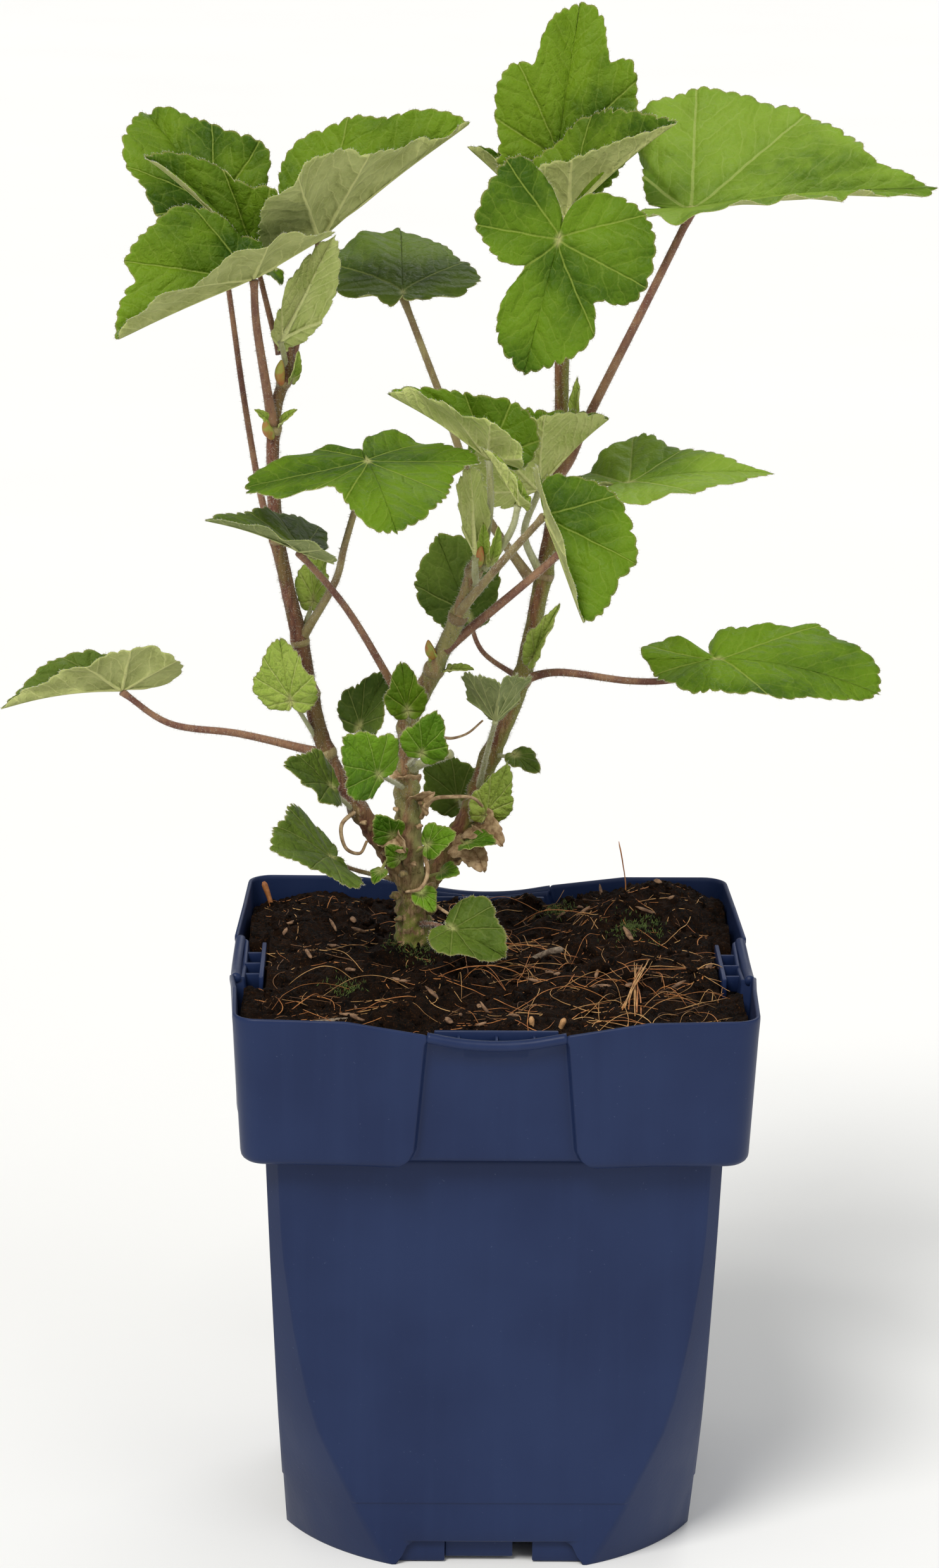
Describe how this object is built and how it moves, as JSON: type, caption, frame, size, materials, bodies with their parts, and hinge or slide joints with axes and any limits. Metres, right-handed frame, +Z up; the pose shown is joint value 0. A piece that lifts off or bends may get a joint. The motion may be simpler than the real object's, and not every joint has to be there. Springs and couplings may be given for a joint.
{
  "type": "potted young tree mallow",
  "caption": "Young tree mallow shrub with soft lobed leaves on branching woody stems, standing in peaty soil in a square plastic nursery pot with a deep collar",
  "frame": {"origin": "middle of the base of the whole plant's bounding box, on the surface that the pot stands on", "axes": "+Z up along the stems, -Y the front of the pot, +X to the right seen from the front"},
  "size_m": [0.2522, 0.1448, 0.4171],
  "materials": {
    "pot_plastic": "satin moulded plastic, navy blue",
    "soil": "moist peat with coir fibres and bark chips",
    "bark": "young reddish brown to olive bark with fine hairs and node rings",
    "leaf": "soft veined leaf, bright green above and felted grey-green below",
    "young_leaf": "young felted leaf, pale yellow-green"
  },
  "bodies": {
    "root": {"pot": "pot_plastic", "soil": "soil", "stem_middle_with_root": "bark", "stem_left": "bark", "stem_right": "bark", "leaf_left_back": "leaf", "leaf_left_upper_right": "leaf", "leaf_left_upper": "leaf", "leaf_left_front": "leaf", "leaf_middle_back": "leaf", "leaf_top": "leaf", "leaf_top_cupped": "leaf", "leaf_front_facing": "leaf", "leaf_right_high": "leaf", "leaf_top_left_folded": "leaf", "leaf_right_low": "leaf", "leaf_left_low": "leaf", "leaf_centre_broad": "leaf", "leaf_centre_grey": "leaf", "leaf_centre_folded": "leaf", "leaf_centre_right": "leaf", "leaf_right_middle": "leaf", "leaf_left_shaded": "leaf", "leaf_centre_dark": "leaf", "leaf_on_soil": "leaf", "leaf_young_bright": "young_leaf", "leaf_young_pleated": "young_leaf", "leaf_young_left": "young_leaf", "small_leaf_left_pale": "young_leaf", "small_leaf_notched": "leaf", "small_leaf_grey_narrow": "leaf", "small_leaf_round": "leaf", "small_leaf_left_oval": "leaf", "small_leaf_left_low": "leaf", "small_leaf_fan": "leaf", "small_leaf_bright": "leaf", "small_leaf_left_high": "young_leaf", "small_leaf_lance": "young_leaf", "small_leaf_shaded": "leaf", "small_leaf_tiny": "leaf", "small_leaf_right_folded": "young_leaf", "small_leaf_right_high": "young_leaf"}
  },
  "joints": []
}
